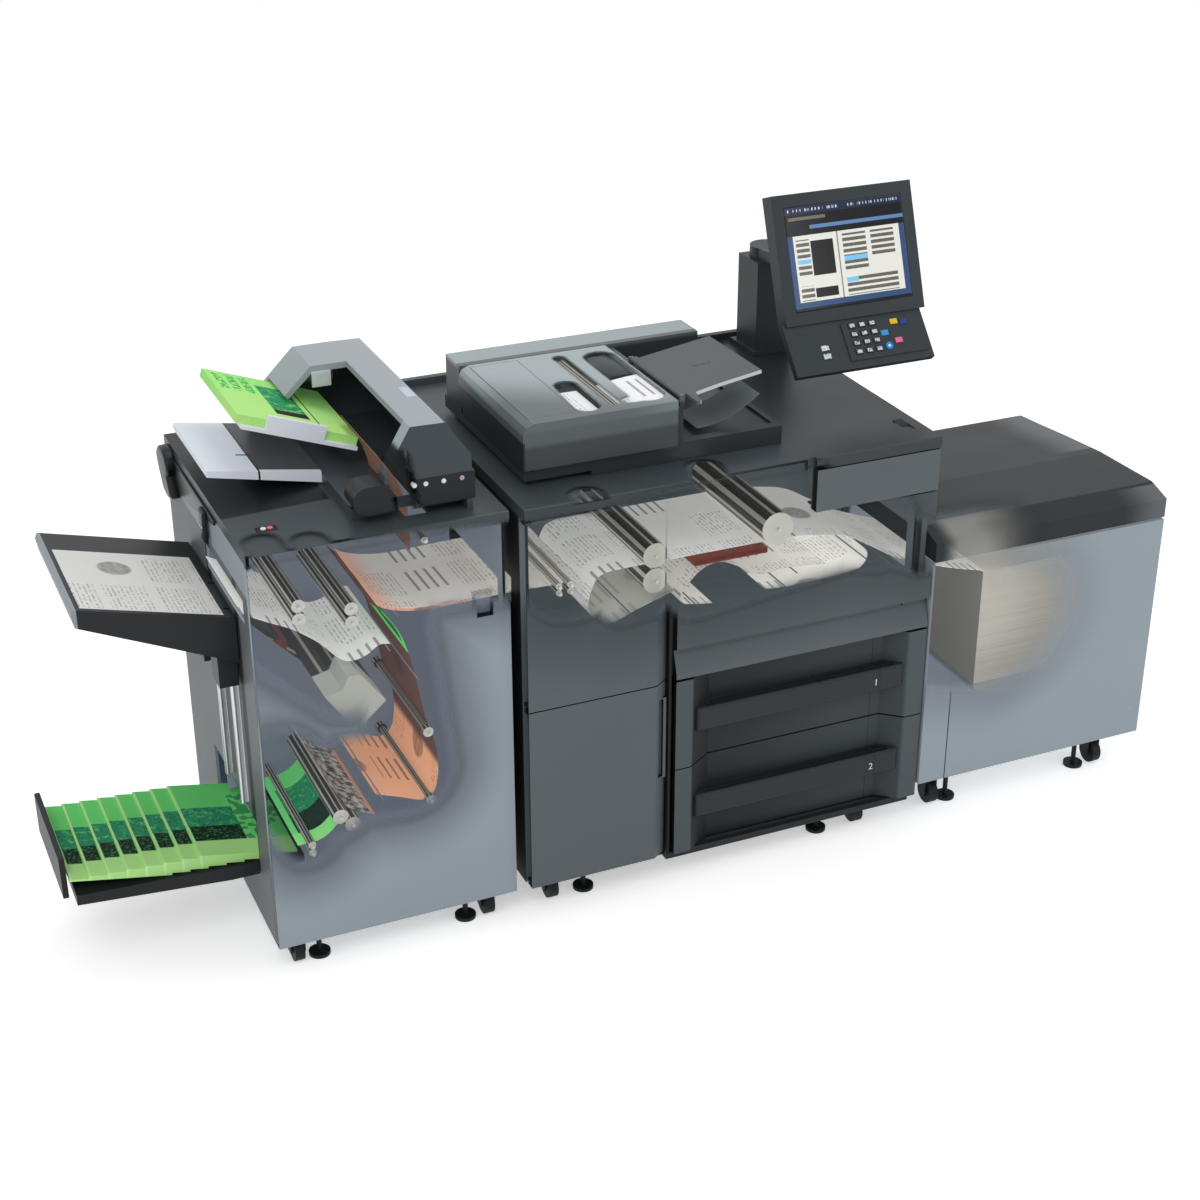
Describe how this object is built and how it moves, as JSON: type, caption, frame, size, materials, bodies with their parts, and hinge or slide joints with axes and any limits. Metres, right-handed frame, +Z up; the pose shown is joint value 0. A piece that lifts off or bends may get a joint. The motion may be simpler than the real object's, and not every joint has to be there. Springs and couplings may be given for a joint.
{
  "type": "digital production printer",
  "caption": "Digital production printer with a booklet finisher, sheet inserter, document feeder, tilting screen, paper drawers and a side paper unit, its paper path modelled inside.",
  "frame": {"origin": "centre of the footprint on the floor", "axes": "+X to the right along the machine's length, +Y towards its back, +Z up"},
  "size_m": [2.611, 0.795, 1.4725],
  "materials": {
    "dark_panels": "satin",
    "pale_panels": "satin",
    "black_parts": "matte",
    "frame_steel": "satin",
    "pale_steel": "satin",
    "bright_steel": "polished",
    "glass": "clear",
    "paper": "matte",
    "green_paper": "matte",
    "roller_rubber": "matte",
    "roller_grey": "matte",
    "wheel": "matte",
    "keys": "gloss",
    "start_key": "gloss"
  },
  "bodies": {
    "machine": {"main_frame": "frame_steel", "main_covers": "dark_panels", "main_top_cover": "dark_panels", "platen_glass": "glass", "finisher_frame": "pale_steel", "finisher_top_cover": "dark_panels", "tray_rails": "bright_steel", "booklet_tray": "black_parts", "booklets": "green_paper", "staple_unit": "black_parts", "path_sheets": "paper", "inserter_housing": "dark_panels", "inserter_trays": "pale_panels", "insert_stack": "green_paper", "undercarriage": "black_parts", "panel_post": "dark_panels", "lu_cabinet": "pale_steel"},
    "finisher_door_body": {"finisher_door": "pale_panels"},
    "left_upper_door_body": {"left_upper_door": "dark_panels"},
    "left_lower_door_body": {"left_lower_door": "dark_panels"},
    "right_door_body": {"right_door": "dark_panels"},
    "toner_door_body": {"toner_door": "dark_panels"},
    "paper_drawer_1_body": {"paper_drawer_1": "dark_panels"},
    "paper_drawer_2_body": {"paper_drawer_2": "dark_panels"},
    "power_switch_body": {"power_switch": "black_parts"},
    "adf_base_body": {"adf_base": "dark_panels"},
    "adf_feed_cover_body": {"adf_feed_cover": "dark_panels"},
    "adf_document_tray_body": {"adf_document_tray": "dark_panels"},
    "panel_arm_body": {"panel_arm": "dark_panels"},
    "panel_head_body": {"panel_head": "dark_panels"},
    "number_keys_body": {"number_keys": "keys"},
    "start_key_body": {"start_key": "start_key"},
    "inserter_cover_body": {"inserter_cover": "dark_panels"},
    "inserter_buttons_body": {"inserter_buttons": "pale_panels"},
    "lu_lid_body": {"lu_lid": "pale_panels"},
    "booklet_stop_body": {"booklet_stop": "black_parts"},
    "front_wheels_body": {"front_wheels": "wheel"},
    "rear_wheels_body": {"rear_wheels": "wheel"},
    "output_tray_body": {"output_tray": "pale_panels", "output_sheet": "paper"},
    "lift_body": {"lu_lift_plate": "bright_steel", "lu_stack": "paper"},
    "feed_roller_body": {"feed_roller": "roller_grey"},
    "upper_heat_roller_body": {"upper_heat_roller": "roller_rubber"},
    "lower_heat_roller_body": {"lower_heat_roller": "roller_rubber"},
    "exit_roller_upper_a_body": {"exit_roller_upper_a": "roller_grey"},
    "exit_roller_lower_a_body": {"exit_roller_lower_a": "roller_grey"},
    "exit_roller_upper_b_body": {"exit_roller_upper_b": "roller_grey"},
    "exit_roller_lower_b_body": {"exit_roller_lower_b": "roller_grey"},
    "insert_roller_body": {"insert_roller": "roller_grey"},
    "deliver_roller_upper_body": {"deliver_roller_upper": "roller_rubber"},
    "deliver_roller_lower_body": {"deliver_roller_lower": "roller_rubber"},
    "receive_roller_upper_body": {"receive_roller_upper": "roller_rubber"},
    "receive_roller_lower_body": {"receive_roller_lower": "roller_rubber"},
    "turn_roller_upper_body": {"turn_roller_upper": "roller_grey"},
    "turn_roller_lower_body": {"turn_roller_lower": "roller_grey"},
    "fold_roller_left_body": {"fold_roller_left": "roller_rubber"},
    "fold_roller_right_body": {"fold_roller_right": "roller_rubber"},
    "booklet_roller_upper_body": {"booklet_roller_upper": "roller_rubber"},
    "booklet_roller_lower_body": {"booklet_roller_lower": "roller_rubber"}
  },
  "joints": [
    {"name": "finisher_door_hinge", "type": "hinge", "parent": "machine", "child": "finisher_door_body", "pos_m": [-0.8875, -0.3615, 0.5], "axis": [0, 0, -1], "range_deg": [0, 90]},
    {"name": "left_upper_door_hinge", "type": "hinge", "parent": "machine", "child": "left_upper_door_body", "pos_m": [-0.315, -0.3845, 0.76], "axis": [0, 0, -1], "range_deg": [0, 90]},
    {"name": "left_lower_door_hinge", "type": "hinge", "parent": "machine", "child": "left_lower_door_body", "pos_m": [-0.315, -0.3845, 0.31], "axis": [0, 0, -1], "range_deg": [0, 90]},
    {"name": "right_door_hinge", "type": "hinge", "parent": "machine", "child": "right_door_body", "pos_m": [0.66, -0.3845, 0.7], "axis": [0, 0, 1], "range_deg": [0, 90]},
    {"name": "toner_door_hinge", "type": "hinge", "parent": "machine", "child": "toner_door_body", "pos_m": [0.5115, -0.3865, 0.886], "axis": [1, 0, 0], "range_deg": [0, 80]},
    {"name": "drawer_1_slide", "type": "slide", "parent": "machine", "child": "paper_drawer_1_body", "axis": [0, -1, 0], "range_m": [0, 0.45]},
    {"name": "drawer_2_slide", "type": "slide", "parent": "machine", "child": "paper_drawer_2_body", "axis": [0, -1, 0], "range_m": [0, 0.45]},
    {"name": "power_switch_rock", "type": "hinge", "parent": "machine", "child": "power_switch_body", "pos_m": [0.6275, -0.2965, 1.003], "axis": [-1, 0, 0], "range_deg": [0, 7]},
    {"name": "feeder_hinge", "type": "hinge", "parent": "machine", "child": "adf_base_body", "pos_m": [0.0125, 0.2075, 1.03], "axis": [-1, 0, 0], "range_deg": [0, 60]},
    {"name": "feed_cover_hinge", "type": "hinge", "parent": "adf_base_body", "child": "adf_feed_cover_body", "pos_m": [-0.2725, -0.1025, 1.058], "axis": [0, -1, 0], "range_deg": [0, 75]},
    {"name": "document_tray_hinge", "type": "hinge", "parent": "adf_base_body", "child": "adf_document_tray_body", "pos_m": [0.0815, -0.1575, 1.152], "axis": [0, -1, 0], "range_deg": [0, 60]},
    {"name": "panel_swivel", "type": "hinge", "parent": "machine", "child": "panel_arm_body", "pos_m": [0.5875, 0.2975, 1.235], "axis": [0, 0, 1], "range_deg": [-8, 35]},
    {"name": "panel_tilt", "type": "hinge", "parent": "panel_arm_body", "child": "panel_head_body", "pos_m": [0.5875, -0.0085, 1.28285], "axis": [1, 0, 0], "range_deg": [-15, 20]},
    {"name": "number_keys_press", "type": "slide", "parent": "panel_head_body", "child": "number_keys_body", "axis": [0, 0.7547, -0.6561], "range_m": [0, 0.0015], "stiffness_N_per_m": 1500, "springref_m": -0.001},
    {"name": "start_key_press", "type": "slide", "parent": "panel_head_body", "child": "start_key_body", "axis": [0, 0.7547, -0.6561], "range_m": [0, 0.0015], "stiffness_N_per_m": 400, "springref_m": -0.001},
    {"name": "inserter_cover_hinge", "type": "hinge", "parent": "machine", "child": "inserter_cover_body", "pos_m": [-0.46031, -0.0525, 1.18876], "axis": [0, -1, 0], "range_deg": [0, 70]},
    {"name": "inserter_buttons_press", "type": "slide", "parent": "machine", "child": "inserter_buttons_body", "axis": [0, 1, 0], "range_m": [0, 0.0015], "stiffness_N_per_m": 300, "springref_m": -0.001},
    {"name": "side_unit_lid_hinge", "type": "hinge", "parent": "machine", "child": "lu_lid_body", "pos_m": [0.9885, 0.215, 0.697], "axis": [-1, 0, 0], "range_deg": [0, 35]},
    {"name": "lift_plate_slide", "type": "slide", "parent": "machine", "child": "lift_body", "axis": [0, 0, 1], "range_m": [-0.16, 0]},
    {"name": "output_tray_slide", "type": "slide", "parent": "machine", "child": "output_tray_body", "axis": [0, 0, 1], "range_m": [-0.28, 0]},
    {"name": "booklet_stop_slide", "type": "slide", "parent": "machine", "child": "booklet_stop_body", "axis": [-1, 0, 0], "range_m": [0, 0.06]},
    {"name": "front_wheels_roll", "type": "hinge", "parent": "machine", "child": "front_wheels_body", "pos_m": [0, -0.3125, 0.0305], "axis": [1, 0, 0], "continuous": true},
    {"name": "rear_wheels_roll", "type": "hinge", "parent": "machine", "child": "rear_wheels_body", "pos_m": [0, 0.1275, 0.0305], "axis": [1, 0, 0], "continuous": true},
    {"name": "feed_roller_spin", "type": "hinge", "parent": "machine", "child": "feed_roller_body", "pos_m": [0.2965, -0.1585, 0.8287], "axis": [0, 1, 0], "continuous": true},
    {"name": "upper_heat_roller_spin", "type": "hinge", "parent": "machine", "child": "upper_heat_roller_body", "pos_m": [0.0005, -0.1585, 0.8197], "axis": [0, 1, 0], "continuous": true},
    {"name": "lower_heat_roller_spin", "type": "hinge", "parent": "machine", "child": "lower_heat_roller_body", "pos_m": [0.0005, -0.1585, 0.7603], "axis": [0, 1, 0], "continuous": true},
    {"name": "exit_roller_upper_a_spin", "type": "hinge", "parent": "machine", "child": "exit_roller_upper_a_body", "pos_m": [-0.2245, -0.1585, 0.7907], "axis": [0, 1, 0], "continuous": true},
    {"name": "exit_roller_lower_a_spin", "type": "hinge", "parent": "machine", "child": "exit_roller_lower_a_body", "pos_m": [-0.2245, -0.1585, 0.7753], "axis": [0, 1, 0], "continuous": true},
    {"name": "exit_roller_upper_b_spin", "type": "hinge", "parent": "machine", "child": "exit_roller_upper_b_body", "pos_m": [-0.1985, -0.1585, 0.7907], "axis": [0, 1, 0], "continuous": true},
    {"name": "exit_roller_lower_b_spin", "type": "hinge", "parent": "machine", "child": "exit_roller_lower_b_body", "pos_m": [-0.1985, -0.1585, 0.7753], "axis": [0, 1, 0], "continuous": true},
    {"name": "insert_roller_spin", "type": "hinge", "parent": "machine", "child": "insert_roller_body", "pos_m": [-0.5178, -0.1585, 0.954], "axis": [0, 1, 0], "continuous": true},
    {"name": "deliver_roller_upper_spin", "type": "hinge", "parent": "machine", "child": "deliver_roller_upper_body", "pos_m": [-0.7885, -0.1585, 0.8581], "axis": [0, 1, 0], "continuous": true},
    {"name": "deliver_roller_lower_spin", "type": "hinge", "parent": "machine", "child": "deliver_roller_lower_body", "pos_m": [-0.7885, -0.1585, 0.8279], "axis": [0, 1, 0], "continuous": true},
    {"name": "receive_roller_upper_spin", "type": "hinge", "parent": "machine", "child": "receive_roller_upper_body", "pos_m": [-0.6795, -0.1585, 0.8301], "axis": [0, 1, 0], "continuous": true},
    {"name": "receive_roller_lower_spin", "type": "hinge", "parent": "machine", "child": "receive_roller_lower_body", "pos_m": [-0.6795, -0.1585, 0.7999], "axis": [0, 1, 0], "continuous": true},
    {"name": "turn_roller_upper_spin", "type": "hinge", "parent": "machine", "child": "turn_roller_upper_body", "pos_m": [-0.5275, -0.1585, 0.507], "axis": [0, 1, 0], "continuous": true},
    {"name": "turn_roller_lower_spin", "type": "hinge", "parent": "machine", "child": "turn_roller_lower_body", "pos_m": [-0.5275, -0.1585, 0.338], "axis": [0, 1, 0], "continuous": true},
    {"name": "fold_roller_left_spin", "type": "hinge", "parent": "machine", "child": "fold_roller_left_body", "pos_m": [-0.73023, -0.1585, 0.3473], "axis": [0, 1, 0], "continuous": true},
    {"name": "fold_roller_right_spin", "type": "hinge", "parent": "machine", "child": "fold_roller_right_body", "pos_m": [-0.70477, -0.1585, 0.32271], "axis": [0, 1, 0], "continuous": true},
    {"name": "booklet_roller_upper_spin", "type": "hinge", "parent": "machine", "child": "booklet_roller_upper_body", "pos_m": [-0.7965, -0.1585, 0.2933], "axis": [0, 1, 0], "continuous": true},
    {"name": "booklet_roller_lower_spin", "type": "hinge", "parent": "machine", "child": "booklet_roller_lower_body", "pos_m": [-0.7965, -0.1585, 0.2747], "axis": [0, 1, 0], "continuous": true}
  ],
  "couplings": [
    {"joint": "exit_roller_lower_a_spin", "follows": "exit_roller_upper_a_spin", "ratio": -1},
    {"joint": "exit_roller_upper_b_spin", "follows": "exit_roller_upper_a_spin", "ratio": 1},
    {"joint": "exit_roller_lower_b_spin", "follows": "exit_roller_upper_a_spin", "ratio": -1},
    {"joint": "upper_heat_roller_spin", "follows": "feed_roller_spin", "ratio": 1.3103},
    {"joint": "lower_heat_roller_spin", "follows": "feed_roller_spin", "ratio": -1.3103},
    {"joint": "deliver_roller_upper_spin", "follows": "fold_roller_left_spin", "ratio": 1.1806},
    {"joint": "deliver_roller_lower_spin", "follows": "fold_roller_left_spin", "ratio": -1.1806},
    {"joint": "receive_roller_upper_spin", "follows": "fold_roller_left_spin", "ratio": 1.1806},
    {"joint": "receive_roller_lower_spin", "follows": "fold_roller_left_spin", "ratio": -1.1806},
    {"joint": "turn_roller_upper_spin", "follows": "fold_roller_left_spin", "ratio": 2.4286},
    {"joint": "turn_roller_lower_spin", "follows": "fold_roller_left_spin", "ratio": 2.4286},
    {"joint": "fold_roller_right_spin", "follows": "fold_roller_left_spin", "ratio": -1},
    {"joint": "booklet_roller_upper_spin", "follows": "fold_roller_left_spin", "ratio": 1.9767},
    {"joint": "booklet_roller_lower_spin", "follows": "fold_roller_left_spin", "ratio": -1.9767}
  ]
}
